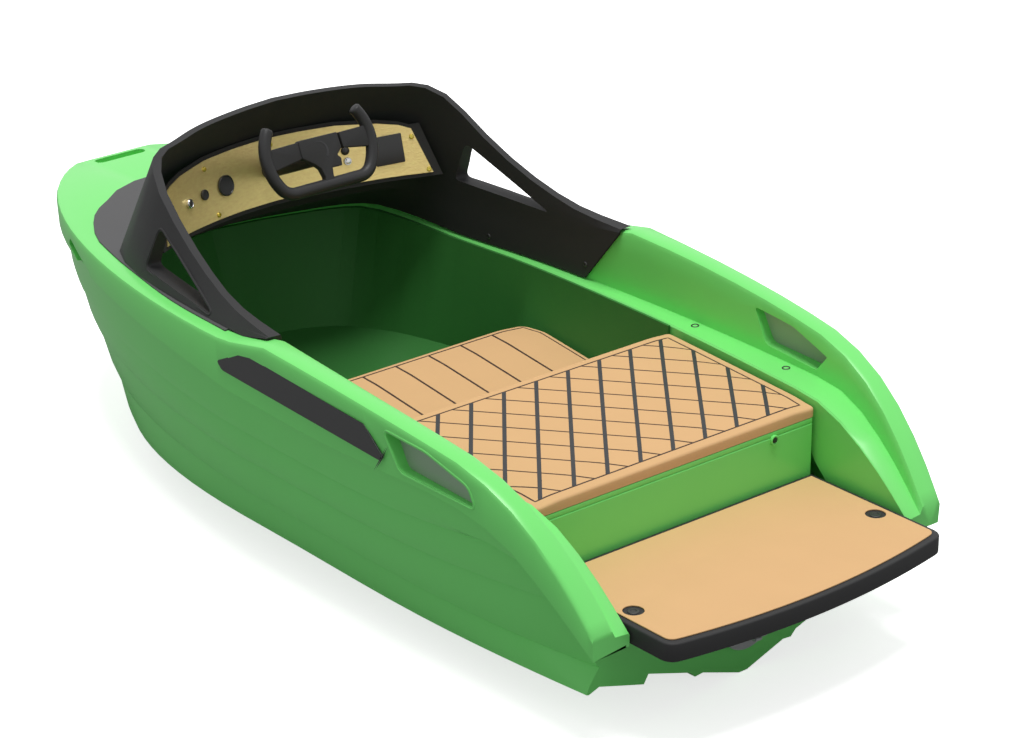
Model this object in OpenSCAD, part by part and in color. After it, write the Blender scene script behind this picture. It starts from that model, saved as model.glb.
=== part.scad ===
/* [Hull] */
// Greatest beam over the gunwale
beam = 1176; // [1100:2:1250]
// Beam over the gunwale at the aft end of the side decks
stern_beam = 1044; // [980:2:1100]
// Forward end of the bow
bow_x = 1336; // [1300:1:1400]
// Aft end of the side decks
gunwale_aft_x = -1170; // [-1185:1:-1150]
// Transom face
transom_x = -1086; // [-1100:1:-1070]
// Depth of the keel below the waterline
keel_depth = 179; // [170:1:190]
// Depth of the spray chine below the waterline amidships
chine_depth = 88; // [80:1:96]
// Thickness of the hull skin
hull_wall = 12; // [10:1:16]
// How far each plank laps out over the next
lap = 6; // [3:0.5:8]
// How far a plank bulges between its laps
plank_crown = 4; // [2:0.5:6]

/* [Side decks] */
// Width of the edge rounding of the side decks
edge_r = 12; // [8:1:16]

/* [Cowl] */
// Thickness of the cowl at its rim
cowl_wall = 20; // [14:1:24]
// Thickness of the foredeck plate
flange_t = 4; // [3:0.5:6]

/* [Seats and platform] */
// Height of the bathing platform
platform_z = 105; // [100:1:112]
// Thickness of the platform base
platform_t = 47; // [40:1:52]
// Half width of the platform
platform_half = 411; // [400:1:413]
// Aft end of the platform
platform_aft_x = -1327; // [-1360:1:-1300]
// Height of the top of the rear pad
rear_pad_z = 279; // [270:1:286]
// Thickness of the rear pad
rear_pad_t = 36; // [30:1:42]
// Aft wall of the engine box
box_aft_x = -871; // [-880:1:-865]
// Forward wall of the engine box
box_fwd_x = -346; // [-360:1:-340]
// Height of the front edge of the front seat pad
seat_front_z = 159; // [150:1:165]
// Front edge of the front seat pad
seat_front_x = 149; // [120:1:170]
// Fall of the front seat pad towards its back, in degrees
seat_fall = 6.4; // [4:0.1:8]

/* [Steering] */
// Width of the wheel over its grips
wheel_w = 344; // [320:1:350]
// Diameter of the wheel's tube
grip_d = 30; // [26:1:34]
// Rake of the steering column from level, in degrees
column_rake = 23.7; // [18:0.1:30]

/* [Jet] */
// Height of the pump's axis
jet_z = -40; // [-44:1:-36]
// Bore of the pump
jet_bore = 124; // [118:1:126]
// Diameter of the pump shaft
shaft_d = 20; // [16:1:24]
// Clearance between the impeller's tips and the bore
tip_gap = 5; // [3:0.5:6]

/* [Hidden] */

green = "#5CC45C";
black = "#3A3A3C";
tan = "#E0B482";
brass = "#D6B876";
steel = "#B8BCC0";

// seat is the gap left between pieces that rest on each other, clear is the gap round a piece that moves
seat = 0.3;
clear = 5;

// A line along the boat runs from its aft end on the port side round the bow to the starboard side.
// u is 0 at the aft end, mid_u where the sides are parallel, and 1 on the centre plane at the bow.
aft_steps = 14;
fwd_steps = 24;
steps = aft_steps + fwd_steps;
mid_u = 0.4;
mid_x = 0;
// How full the bow is in plan, and how far the full curve would run past the blunt bow
bow_power = 1.7;
blunt = 29;

function line_u(i) = i <= aft_steps ? mid_u * pow(i / aft_steps, 1.6) : mid_u + (1 - mid_u) * (i - aft_steps) / fwd_steps;
function bow_angle(u) = 90 * (u - mid_u) / (1 - mid_u);

// Smooth curve through the values at the given keys
function slope_at(k, v, i) = i == 0 ? (v[1] - v[0]) / (k[1] - k[0])
    : i == len(k) - 1 ? (v[i] - v[i - 1]) / (k[i] - k[i - 1])
    : (v[i + 1] - v[i - 1]) / (k[i + 1] - k[i - 1]);
function span_of(k, t) = max([0, for (i = [0:len(k) - 2]) if (t >= k[i]) i]);
function hermite(k, v, t, i) = let (h = k[i + 1] - k[i], s = min(1, max(0, (t - k[i]) / h)))
    (2 * s * s * s - 3 * s * s + 1) * v[i] + (s * s * s - 2 * s * s + s) * h * slope_at(k, v, i)
    + (3 * s * s - 2 * s * s * s) * v[i + 1] + (s * s * s - s * s) * h * slope_at(k, v, i + 1);
function smooth(k, v, t) = hermite(k, v, t, span_of(k, t));
function column(table, c) = [for (row = table) row[c]];

// Corners of an outline, each cut back by d and rounded
function toward(p, q, d) = p + (q - p) * d / norm(q - p);
function rounded(corners, d) = let (n = len(corners)) [for (i = [0:n - 1]) each let (p = corners[i],
        a = toward(p, corners[(i + n - 1) % n], d), b = toward(p, corners[(i + 1) % n], d))
    [for (t = [0:0.2:1]) a * (1 - t) * (1 - t) + p * 2 * t * (1 - t) + b * t * t]];

// Plan of a line: half breadth amidships, half breadth aft, aft end and setback of the bow
function plan_x(u, aft, setback, power = bow_power) = u <= mid_u ? aft + (mid_x - aft) * u / mid_u
    : min(bow_x - setback, mid_x + (bow_x + blunt - setback - mid_x) * pow(sin(bow_angle(u)), 2 / power));
function plan_y(u, half, half_aft) = u <= mid_u ? half - (half - half_aft) * pow(1 - u / mid_u, 3.2)
    : half * cos(bow_angle(u));

// Both sides of a line from its port points, the last of which lies on the centre plane
function both_sides(port) = concat(port, [for (i = [len(port) - 2:-1:0]) [port[i][0], -port[i][1], port[i][2]]]);

// Height of the rail: stern sweep, sheer, step down to the foredeck, foredeck plane
foredeck_z = 418.3;
foredeck_fall = 0.0309;
foredeck_x = 30;
function foredeck_at(x) = foredeck_z - foredeck_fall * (x - foredeck_x);
rail_table = [[-1172, 108], [-1122, 174], [-1060, 242], [-998, 296], [-936, 337], [-874, 366], [-812, 387], [-750, 397],
    [-626, 413], [-378, 435], [-130, 449], [-95, 448], [-65, 442], [-35, 433], [-5, 424], [foredeck_x, foredeck_z],
    [1336, 377.9]];
function rail_z(x) = x > foredeck_x ? foredeck_at(x) : smooth(column(rail_table, 0), column(rail_table, 1), x);

// Lower edge of the side band: x, z
band_table = [[-1172, 52], [-1050, 155], [-940, 232], [-830, 272], [-700, 287], [-320, 281], [0, 292],
    [200, 308], [600, 322], [1336, 322]];
function band_z(x) = smooth(column(band_table, 0), column(band_table, 1), x);

// Ledge inside the gunwale: x, z
ledge_table = [[-1172, 86], [-1120, 134], [-1050, 190], [-980, 234], [-910, 268], [-840, 282], [-700, 284],
    [0, 286], [700, 288]];
function ledge_z(x) = smooth(column(ledge_table, 0), column(ledge_table, 1), x);

// Edge of the cockpit opening in the deck: u, x, y
edge_table = [[0, -1170, 462], [0.1, -878, 506], [0.2, -585, 524], [0.3, -292, 526], [0.4, 0, 514], [0.485, 230, 495],
    [0.55, 430, 470], [0.585, 545, 455], [0.62, 610, 432], [0.66, 650, 382], [0.72, 677, 300], [0.8, 695, 200],
    [0.88, 705, 100], [1, 708, 0]];
// Inner edge of the ledge below it: u, x, y and the width of the ledge
lip_table = [[0, -1170, 418, 40], [0.1, -878, 425, 76], [0.2, -585, 450, 68], [0.3, -292, 468, 52],
    [0.4, 0, 473, 36], [0.485, 230, 468, 24], [0.55, 440, 450, 15], [0.611, 640, 441, 10], [0.645, 745, 425, 10],
    [0.68, 797, 398, 8], [0.74, 832, 330, 8], [0.8, 855, 250, 8], [0.88, 882, 146, 8], [1, 905, 0, 8]];
function look(table, u, c) = smooth(column(table, 0), column(table, c), u);
function edge_at(u) = [look(edge_table, u, 1), u == 1 ? 0 : look(edge_table, u, 2)];
function lip_at(u) = [look(lip_table, u, 1), u == 1 ? 0 : look(lip_table, u, 2)];
function ledge_w(u) = look(lip_table, u, 3);
// Moves a plan point inboard by d
function inboard(u, p, d) = u <= mid_u ? [p[0], p[1] - d]
    : [p[0] - d * sin(bow_angle(u)), u == 1 ? 0 : p[1] - d * cos(bow_angle(u))];
function at_z(p, z) = [p[0], p[1], z];

// Closed solid over lines that run round the bow, the first at the top and the last beside the keel
module bow_solid(lines) {
    rows = len(lines);
    cols = len(lines[0]);
    last = cols - 1;
    mid = last / 2;
    points = [for (line = lines) each line];
    skin = [for (r = [0:rows - 2]) for (c = [0:cols - 2]) each let (a = r * cols + c, b = a + 1, d = a + cols)
        [[a, d, b], [b, d, d + 1]]];
    top = [for (c = [0:mid - 1]) each c == mid - 1 ? [[c, c + 1, last - c]]
        : [[c, c + 1, last - c], [c + 1, last - c - 1, last - c]]];
    low = (rows - 1) * cols;
    bottom = [for (c = [0:mid - 1]) each c == mid - 1 ? [[low + c, low + last - c, low + c + 1]]
        : [[low + c, low + last - c, low + c + 1], [low + c + 1, low + last - c, low + last - c - 1]]];
    stern = [concat([for (r = [0:rows - 1]) r * cols + last], [for (r = [rows - 1:-1:0]) r * cols])];
    polyhedron(points, concat(skin, top, bottom, stern), convexity = 8);
}

// Draws its children on both sides
module both() {
    children();
    mirror([0, 1, 0])
        children();
}

// Open shell between lines that run round the bow: outer lines from the rim to the keel, inner lines likewise
module bow_shell(outer, inner) {
    cols = len(outer[0]);
    last = cols - 1;
    mid = last / 2;
    k = len(outer);
    n = len(inner);
    base = k * cols;
    points = [for (line = concat(outer, inner)) each line];
    skin = [for (r = [0:k - 2]) for (c = [0:cols - 2]) each let (a = r * cols + c, d = a + cols)
        [[a, d, a + 1], [a + 1, d, d + 1]]];
    lining = [for (r = [0:n - 2]) for (c = [0:cols - 2]) each let (a = base + r * cols + c, d = a + cols)
        [[a, a + 1, d], [a + 1, d + 1, d]]];
    rim = [for (c = [0:cols - 2]) each [[c, c + 1, base + c], [c + 1, base + c + 1, base + c]]];
    low = (k - 1) * cols;
    deep = base + (n - 1) * cols;
    keel = [for (c = [0:mid - 1]) each c == mid - 1 ? [[low + c, low + last - c, low + c + 1]]
        : [[low + c, low + last - c, low + c + 1], [low + c + 1, low + last - c, low + last - c - 1]]];
    sole = [for (c = [0:mid - 1]) each c == mid - 1 ? [[deep + c, deep + c + 1, deep + last - c]]
        : [[deep + c, deep + c + 1, deep + last - c], [deep + c + 1, deep + last - c - 1, deep + last - c]]];
    stern = [concat([for (r = [0:k - 1]) r * cols + last], [for (r = [k - 1:-1:0]) r * cols])];
    bulkhead = [concat([for (r = [0:n - 1]) base + r * cols], [for (r = [n - 1:-1:0]) base + r * cols + last])];
    sill = [[0, base, base + last], [0, base + last, last]];
    polyhedron(points, concat(skin, lining, rim, keel, sole, stern, bulkhead, sill), convexity = 10);
}

// Closed solid through like sections, each a ring of points in the same order
module section_solid(rings) {
    n = len(rings[0]);
    m = len(rings);
    points = [for (ring = rings) each ring];
    skin = [for (r = [0:m - 2]) for (c = [0:n - 1]) each
        let (a = r * n + c, b = r * n + (c + 1) % n, d = a + n, e = b + n) [[a, d, b], [b, d, e]]];
    ends = [[for (c = [0:n - 1]) c], [for (c = [n - 1:-1:0]) (m - 1) * n + c]];
    polyhedron(points, concat(skin, ends), convexity = 8);
}

// Sections on the port side, mirrored to starboard in the same ring order
function mirrored_ring(ring) = [for (p = ring) [p[0], -p[1], p[2]]];
function both_rings(port) = concat(port, [for (i = [len(port) - 2:-1:0]) mirrored_ring(port[i])]);

// Hull lines: half breadth amidships and at the transom, setback at the bow, height at five places
// from the transom to the bow, at u of height_u, and how full the line is in plan
height_u = [0, 0.2, 0.4, 0.7, 1];
plank_table = [
    [560, 500, 60, 240, 193, 194, 208, 195, 1.7],
    [542, 470, 130, 128, 106, 111, 112, 85, 1.72],
    [520, 430, 230, -20, 0, 14, 8, -22, 1.85],
    [492, 461, 345, -78, -chine_depth, -80, -88, -80, 2.4]];
chine_table = [
    [478, 425, 350, -70, -chine_depth + 8, -72, -82, -76, 2.4],
    [300, 297, 390, -109, -120, -116, -112, -96, 2.3],
    [288, 284, 394, -88, -100, -98, -100, -92, 2.3],
    [161, 161, 434, -128, -138, -138, -128, -112, 2],
    [146, 146, 440, -143, -154, -154, -142, -120, 2],
    [122, 122, 448, -141, -152, -152, -140, -122, 2],
    [12, 12, 500, -keel_depth, -keel_depth, -keel_depth, -165, -136, 1.8]];
// How far the lines run past the transom before its face is cut
trim = 5;
function row_z(row, u) = smooth(height_u, [for (i = [3:7]) row[i]], u);
function under_band(x, z, drop) = min(z, band_z(x) - seat - drop - (x < -300 ? 1.2 : 0));
function hull_point(row, u, inset, drop, lift) = let (x = plan_x(u, transom_x - trim, row[2] + inset, row[8]))
    [x, max(0, plan_y(u, row[0] - inset, row[1] - inset)), under_band(x, row_z(row, u) + lift, drop)];
function hull_line(row, inset, drop, lift) =
    both_sides([for (i = [0:steps]) hull_point(row, line_u(i), inset, drop, lift)]);
function blend_rows(a, b, share) = [for (i = [0:8]) a[i] * (1 - share) + b[i] * share];
top_row = [572, 520, 14, 400, 400, 400, 400, 400, bow_power];
band_row = [572, 520, 14, 160, 288, 292, 318, 310, bow_power];

function plank_above(i) = i == 0 ? band_row : plank_table[i - 1];
function hull_lines() = concat([hull_line(top_row, 0, 0, 0)],
    [for (i = [0:3]) each [
        hull_line(blend_rows(plank_above(i), plank_table[i], 0.35), 2, 2 + 4 * i, 0),
        hull_line(blend_rows(plank_above(i), plank_table[i], 0.75), -plank_crown / 2, 4 + 4 * i, 0),
        hull_line(plank_table[i], 0, 5 + 4 * i, 0),
        hull_line(plank_table[i], lap, 5.5 + 4 * i, -2)]],
    [for (row = chine_table) hull_line(row, 0, 40, 0)]);

// Hull's hollow, in the same columns, from the top down
hollow_table = [
    [560, 506, 26, 400, 400, 400, 400, 400],
    [560, 440, 34, 400, 400, 400, 400, 400],
    [556, 440, 38, 110, 250, 262, 262, 262],
    [522, 440, 150, 120, 106, 111, 112, 90],
    [462, 410, 370, -54, -64, -56, -62, -50],
    [60, 60, 520, -keel_depth + 38, -keel_depth + 38, -keel_depth + 38, -124, -100]];
function hollow_point(i, u) = let (row = hollow_table[i], x = plan_x(u, transom_x + hull_wall, row[2]))
    [x, plan_y(u, row[0], row[1]), under_band(x, row_z(row, u), [0, 8, 30, 30, 30, 30][i])];
function hollow_lines() = [for (i = [0:5]) both_sides([for (k = [0:steps]) hollow_point(i, line_u(k))])];
module hull_shell() {
    color(green)
        difference() {
            bow_shell(hull_lines(), hollow_lines());
            translate([transom_x - 2 * trim, -beam / 2, -keel_depth - 10])
                cube([2 * trim, beam, 400]);
            translate([transom_x - 1, -lip_clear, platform_z - platform_t - seat])
                cube([hull_wall + 2, 2 * lip_clear, 100]);
            duct_slot();
            translate([transom_x - 1, 0, jet_z])
                rotate([0, 90, 0])
                    cylinder(d = jet_bore + 2 * duct_wall + 2 * seat, h = 40, $fn = 64);
        }
}

// Deck moulding
module deck_moulding() {
    color(green)
        difference() {
            section_solid(both_rings([for (i = [0:steps]) deck_ring(line_u(i))]));
            for (s = [-1, 1])
                side_opening(s);
            plate_recesses();
            bow_grips();
        }
}
function along(p, q, d) = let (v = [q[0] - p[0], q[1] - p[1]], n = max(1, norm(v))) [p[0] + v[0] / n * d, p[1] + v[1] / n * d];
band_shelf = 26;
lip_depth = 26;
lip_t = 9;
lip_clear = 430;
function lip_foot(x, zl) = let (s = min(1, max(0, (box_aft_x + 6 - x) / 6))) (zl - lip_depth) * (1 - s) + (platform_z - platform_t) * s;
function deck_ring(u) = let (
        o = [plan_x(u, gunwale_aft_x, 0), plan_y(u, beam / 2, stern_beam / 2)],
        e = edge_at(u), l = lip_at(u), w = ledge_w(u),
        zo = rail_z(o[0]), ze = rail_z(e[0]), zb = band_z(o[0]), zl = ledge_z(l[0]), zf = lip_foot(l[0], zl),
        lean = 8 * (zo - zb) / 150, wall = [at_z(e, ze - edge_r), at_z(inboard(u, l, -w), zl + 4)])
    [at_z(inboard(u, o, lean), zb), at_z(o, zo - edge_r), at_z(inboard(u, o, edge_r * 0.3), zo - edge_r * 0.3),
     at_z(inboard(u, o, edge_r), zo), at_z(inboard(u, e, -edge_r), ze), at_z(inboard(u, e, -edge_r * 0.3), ze - edge_r * 0.3),
     wall[0], (2 * wall[0] + wall[1]) / 3, (wall[0] + 2 * wall[1]) / 3, wall[1], at_z(inboard(u, l, -4), zl + 1), at_z(l, zl - 3),
     at_z(l, zf), at_z(inboard(u, l, -lip_t), zf), at_z(inboard(u, l, -lip_t), min(zl - 8, max(zl - lip_depth + 2, zb + 2))),
     at_z(inboard(u, o, lean + band_shelf), zb)];

// Side opening: a leaf-shaped hole through the side deck, x and z of its corners
opening_corners = [[-558, 388], [-604, 308], [-836, 300], [-818, 342], [-690, 380]];
module side_opening(s) {
    translate([0, s * (beam / 2 + 52), 0])
        rotate([90, 0, 0])
            linear_extrude(height = 260, center = true)
                polygon(rounded(opening_corners, 14));
}
// Grab slots: one across the bow and one in each bow side
grip_l = 150;
module bow_grips() {
    translate([1296, 0, 377])
        cube([18, grip_l, 60], center = true);
    for (s = [-1, 1])
        translate([832, s * (beam / 2 - 152), 327])
            rotate([0, 0, -s * 18.4])
                rotate([0, -11.8, 0])
                    cube([200, 60, 15], center = true);
}

// Cockpit liner: u, then x and y at the height of the footwell's middle and of the floor
liner_t = 5;
tub_aft_x = box_fwd_x + 6;
floor_z = -60;
footwell_z = 10;
tub_steps = 24;
tub_table = [[0.2, -585, 438, -585, 405], [0.3, -292, 440, -292, 405], [0.4, 0, 440, 0, 405],
    [0.485, 220, 432, 200, 385], [0.55, 410, 405, 370, 345], [0.611, 580, 355, 500, 285], [0.645, 650, 315, 550, 245],
    [0.68, 700, 280, 590, 205], [0.74, 740, 225, 620, 155], [0.8, 765, 160, 640, 105], [0.88, 783, 80, 650, 50],
    [1, 790, 0, 655, 0]];
tub_u = 0.2 + 0.1 * (tub_aft_x + 585) / 293;
function tub_at(u, k) = k == 0 ? inboard(u, lip_at(u), 1.2)
    : [look(tub_table, u, 2 * k - 1), u == 1 ? 0 : look(tub_table, u, 2 * k)];
function tub_line(k, z, grow) = both_sides([for (i = [0:tub_steps])
    let (u = tub_u + (1 - tub_u) * i / tub_steps, p = inboard(u, tub_at(u, k), grow))
        [i == 0 ? tub_aft_x + grow : p[0], p[1], z]]);
module tub_liner() {
    color(green)
        difference() {
            bow_solid([tub_line(0, 285, 0), tub_line(1, footwell_z, 0), tub_line(2, floor_z, 0)]);
            bow_solid([tub_line(0, 300, liner_t), tub_line(1, footwell_z, liner_t), tub_line(2, floor_z + liner_t, liner_t)]);
            translate([tub_aft_x - 1, -500, box_top_z - 8])
                cube([liner_t + 2, 1000, 100]);
        }
}

module stern_deck() {
    color(green)
        translate([0, 0, platform_z - platform_t - 12])
            linear_extrude(height = 12 - seat)
                polygon([[transom_x + hull_wall + 1, -424], [box_aft_x + 12, -446], [box_aft_x + 12, 446],
                    [transom_x + hull_wall + 1, 424]]);
}

// Cowl: u, x, y, z of the rim, x and y of the foot on the foredeck
cowl_table = [[0.366, -100, 546, 451.5, -96, 551], [0.43, 73, 522, 466, 80, 543], [0.487, 239, 497, 518, 250, 528],
    [0.536, 395, 472, 599, 430, 504], [0.565, 464, 456, 650, 560, 476], [0.605, 526, 412, 684, 680, 420],
    [0.66, 557, 336, 694, 742, 330], [0.76, 586, 240, 705, 778, 220], [0.88, 603, 112, 713, 795, 100],
    [1, 613, 0, 715, 800, 0]];
cowl_aft_u = 0.366;
cowl_us = concat([cowl_aft_u], [for (i = [0:steps]) if (line_u(i) > cowl_aft_u + 0.01) line_u(i)]);
// The skirt's lower edge starts further forward than the tip of the rim
skirt_lag = 0.039;
skirt_t = 6;
tip_flare = 12;
function skirt_u(u) = u + skirt_lag * pow(max(0, (0.55 - u) / (0.55 - cowl_aft_u)), 2);
function foot_lift(x) = (flange_t + seat) * min(1, max(0, (x - 40) / 20));
// Point of the skirt off the deck's inner wall: share of the way down from e to lo, and distance off it
function off_wall(u, e, ez, lo, lz, share, d) = let (
        out = u <= mid_u ? [0, 1] : [sin(bow_angle(u)), cos(bow_angle(u))],
        h = (lo - e) * out, n = norm([h, ez - lz]), p = e + (lo - e) * share)
    at_z(inboard(u, p, d * (ez - lz) / n), ez + (lz - ez) * share - d * h / n);
function cowl_ring(u) = let (
        r = [look(cowl_table, u, 1), u == 1 ? 0 : look(cowl_table, u, 2)], rz = look(cowl_table, u, 3),
        f = [look(cowl_table, u, 4), u == 1 ? 0 : look(cowl_table, u, 5)],
        v = skirt_u(u), e = edge_at(u), l = lip_at(v), lo = inboard(v, l, -ledge_w(v)),
        fz = rail_z(f[0]) + seat + foot_lift(f[0]), ez = rail_z(e[0]) - edge_r, lz = ledge_z(l[0]) + 5,
        ri = inboard(u, r, cowl_wall + tip_flare * max(0, (0.45 - u) / (0.45 - cowl_aft_u))), m = [(r[0] + f[0]) / 2, (r[1] + f[1]) / 2],
        nose = min(1, max(0, (u - 0.55) / 0.1)), low = 1 - (2 + 12 * nose) / (ez - lz),
        mz = (fz + rz) / 2, mi = (ri + inboard(u, e, skirt_t + 8)) / 2 * (1 - nose) + inboard(u, m, 24) * nose,
        brow = (ri + mi) / 2 * (1 - nose) + inboard(u, m + (r - m) * 0.25, 12) * nose,
        brow_z = (rz + mz - 10) / 2 * (1 - nose) + (mz + (rz - mz) * 0.25) * nose)
    concat([at_z(f, fz), at_z(m, mz), at_z(r, rz), at_z(ri, rz - 2), at_z(brow, brow_z), at_z(mi, mz - 8)],
        [for (k = [0:3]) off_wall(u, e, ez, lo, lz, low * k / 3, skirt_t + 4)],
        [for (k = [3:-1:0]) off_wall(u, e, ez, lo, lz, low * k / 3, 4.9)],
        [at_z(inboard(u, e, 2), rail_z(e[0]) + seat + foot_lift(e[0]))]);
window_corners = [[415, 548], [462, 438], [138, 429]];
module cowl() {
    color(black)
        difference() {
            section_solid(both_rings([for (u = cowl_us) cowl_ring(u)]));
            for (s = [-1, 1])
                translate([0, s * 500, 0])
                    rotate([90, 0, 0])
                        linear_extrude(height = 200, center = true)
                            polygon(rounded(window_corners, 20));
        }
}
// Flange: t, x and y of its outer edge, x and y of its inner edge under the cowl
flange_table = [[0, 60, 553, 62, 530], [0.2, 304, 530, 300, 506], [0.4, 563, 477, 540, 462], [0.52, 673, 449, 650, 424],
    [0.62, 790, 413, 705, 365], [0.7, 890, 356, 738, 300], [0.78, 960, 299, 756, 235], [0.85, 1011, 232, 768, 165],
    [0.93, 1081, 132, 778, 80], [1, 1098, 0, 782, 0]];
module cowl_flange() {
    color("#5A5A5C")
        section_solid(both_rings([for (i = [0:20]) flange_ring(i / 20)]));
}
function flange_ring(t) = let (
        f = [look(flange_table, t, 1), t == 1 ? 0 : look(flange_table, t, 2)],
        g = [look(flange_table, t, 3), t == 1 ? 0 : look(flange_table, t, 4)])
    [at_z(f, foredeck_at(f[0]) + seat), at_z(f, foredeck_at(f[0]) + flange_t - 1),
     at_z(along(f, g, 1), foredeck_at(f[0]) + flange_t), at_z(g, foredeck_at(g[0]) + flange_t),
     at_z(g, foredeck_at(g[0]) + seat)];

// Dash: an arc in plan, its middle nearest the bow, leaning forward, cut to the shape of the opening.
// Its frame's origin is the middle of its face; y is across the boat and z is up the face.
dash_r = 739;
dash_x = 622;
dash_z = 465;
dash_rake = 14.4;
fascia_t = 3;
dash_t = 5;
module dash_frame() {
    translate([dash_x, 0, dash_z])
        rotate([0, dash_rake, 0])
            children();
}
module dash_ring(r_in, r_out) {
    translate([-dash_r, 0, -60])
        rotate([0, 0, -40])
            rotate_extrude(angle = 80, $fn = 240)
                translate([dash_r + r_in, 0])
                    square([r_out - r_in, 230]);
}
// Half of the dash's outline from the centre: y, lower edge, upper edge
dash_outline = [[0, -22, 135], [100, -23, 132], [200, -26, 126], [300, -30, 110], [350, -33, 96], [376, -35, 82]];
dash_corner = [408, -37];
module dash_profile(grow, reach) {
    low = [for (p = dash_outline) [p[0], p[1] - grow]];
    high = [for (i = [len(dash_outline) - 1:-1:0]) [dash_outline[i][0], dash_outline[i][2] + grow]];
    half = concat(low, [[dash_corner[0] + reach, dash_corner[1] - grow], [dash_outline[5][0] + reach, dash_outline[5][2] + grow]], high);
    translate([-200, 0, 0])
        rotate([90, 0, 90])
            linear_extrude(height = 260)
                polygon(concat(half, [for (i = [len(half) - 1:-1:0]) [-half[i][0], half[i][1]]]));
}
module column_hole() {
    wheel_frame()
        translate([0, 0, -column_l])
            cylinder(d = column_d + 2 * seat, h = column_l - 60, $fn = 48);
}
module dash_panel() {
    color("#262628")
        difference() {
            dash_frame()
                intersection() {
                    dash_ring(0, dash_t);
                    dash_profile(10, 21);
                }
            column_hole();
        }
}
module dash_fascia() {
    color(brass)
        difference() {
            dash_frame()
                intersection() {
                    dash_ring(-seat - fascia_t, -seat);
                    dash_profile(0, 0);
                }
            column_hole();
        }
}
// Places a flat piece of the given half width on the fascia, at y across and z up its face
module on_dash(y, z, half) {
    dash_frame()
        translate([-dash_r + sqrt(pow(dash_r - fascia_t - 2 * seat - half * half / (2 * dash_r), 2) - y * y), y, z])
            rotate([0, 0, asin(y / dash_r)])
                rotate([0, -90, 0])
                    children();
}
module gauge_large() {
    color("#202020")
        on_dash(145, 51, 26)
            cylinder(d = 52, h = 6, $fn = 48);
}
module gauge_small() {
    color("#202020")
        on_dash(224, 46, 13)
            cylinder(d = 26, h = 6, $fn = 48);
}
module key_switch() {
    color(steel)
        on_dash(287, 39, 12)
            cylinder(d = 24, h = 9, $fn = 48);
}
module start_button() {
    color(steel)
        on_dash(-216, 32, 10)
            cylinder(d = 20, h = 6, $fn = 48);
}
module warning_lamp() {
    color("#202020")
        on_dash(-214, 59, 11)
            cylinder(d = 22, h = 8, $fn = 48);
}
module display_screen() {
    color("#2A2A2C")
        on_dash(-318, 39, 38)
            translate([-37, -31, 0])
                cube([74, 62, 5]);
}

// Wheel: turns about the column's axis
wheel_x = 430;
wheel_z = 612;
module wheel_frame() {
    translate([wheel_x, 0, wheel_z])
        rotate([0, column_rake, 0])
            rotate([0, -90, 0])
                children();
}
column_d = 44;
column_l = 240;
stub_d = 20;
module steering_column() {
    color(black)
        wheel_frame()
            translate([0, 0, -column_l])
                difference() {
                    cylinder(d = column_d, h = column_l - clear, $fn = 48);
                    translate([0, 0, column_l - 75])
                        cylinder(d = stub_d + 0.1, h = 80, $fn = 48);
                }
}
// Wheel rim: two bowed grips, two corners and a straight bar, in the wheel's plane
grip_r = 122;
grip_y = wheel_w / 2 - grip_d / 2 - grip_r;
grip_z = 16;
grip_low = -22;
grip_high = 33;
corner_r = 40;
function grip_end(a, r) = [grip_y + r * cos(a), grip_z + r * sin(a)];
corner_at = grip_end(grip_low, grip_r - corner_r);
cap_steps = [[7, 0.45], [5.5, 0.75], [3, 0.93]];
// Stations from the top of a grip to the middle of the bar: centre across and up, direction, share of the radius
grip_stations = concat(
    [for (e = cap_steps) [grip_end(grip_high, grip_r) + e[0] * [-sin(grip_high), cos(grip_high)], grip_high, e[1]]],
    [for (i = [0:12]) let (a = grip_high - (grip_high - grip_low) * i / 12) [grip_end(a, grip_r), a, 1]],
    [for (i = [1:8]) let (a = grip_low - (90 + grip_low) * i / 8) [corner_at + corner_r * [cos(a), sin(a)], a, 1]],
    [[[0, corner_at[1] - corner_r], -90, 1]]);
function grip_ring(station) = [for (k = [0:23]) let (r = grip_d / 2 * station[2], n = r * cos(15 * k))
    [station[0][1] + n * sin(station[1]), station[0][0] + n * cos(station[1]), -r * sin(15 * k)]];
module wheel_rim() {
    color(black)
        wheel_frame()
            translate([0, 0, 12])
                section_solid(both_rings([for (station = grip_stations) grip_ring(station)]));
}
hub_d = 76;
module wheel_hub() {
    color(black)
        wheel_frame() {
            difference() {
                cylinder(d = hub_d, h = 24, $fn = 48);
                translate([0, 0, 18])
                    cylinder(d = 50, h = 10, $fn = 48);
            }
            translate([0, 0, -70])
                cylinder(d = stub_d, h = 72, $fn = 48);
            both()
                translate([0, 0, 7])
                    linear_extrude(height = 10)
                        polygon([[-8, 30], [18, 141.6], [48, 136.8], [36, 20]]);
            translate([corner_at[1] - corner_r + grip_d / 2 + seat, -17, 7])
                cube([40, 34, 10]);
        }
}

// Front seat
seat_half = 434;
seat_len = 480;
seat_pad_t = 40;
seat_base_half = 380;
function seat_top(x) = seat_front_z - seat_pad_t / cos(seat_fall) - seat - tan(seat_fall) * (seat_front_x - x);
module seat_base() {
    color(green)
        translate([0, seat_base_half, 0])
            rotate([90, 0, 0])
                linear_extrude(height = 2 * seat_base_half)
                    polygon([[seat_front_x - 20, floor_z + liner_t + seat], [seat_front_x - 12, seat_top(seat_front_x - 12)],
                        [tub_aft_x + liner_t + 2, seat_top(tub_aft_x + liner_t + 2)],
                        [tub_aft_x + liner_t + 2, floor_z + liner_t + seat]]);
}
module seat_pad() {
    color(tan)
        translate([seat_front_x, 0, seat_front_z])
            rotate([0, -seat_fall, 0])
                translate([0, 0, -seat_pad_t])
                    linear_extrude(height = seat_pad_t)
                        polygon([[-seat_len, -seat_half], [-62, -seat_half], [0, -seat_half + 19], [0, seat_half - 19],
                            [-62, seat_half], [-seat_len, seat_half]]);
}

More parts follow.
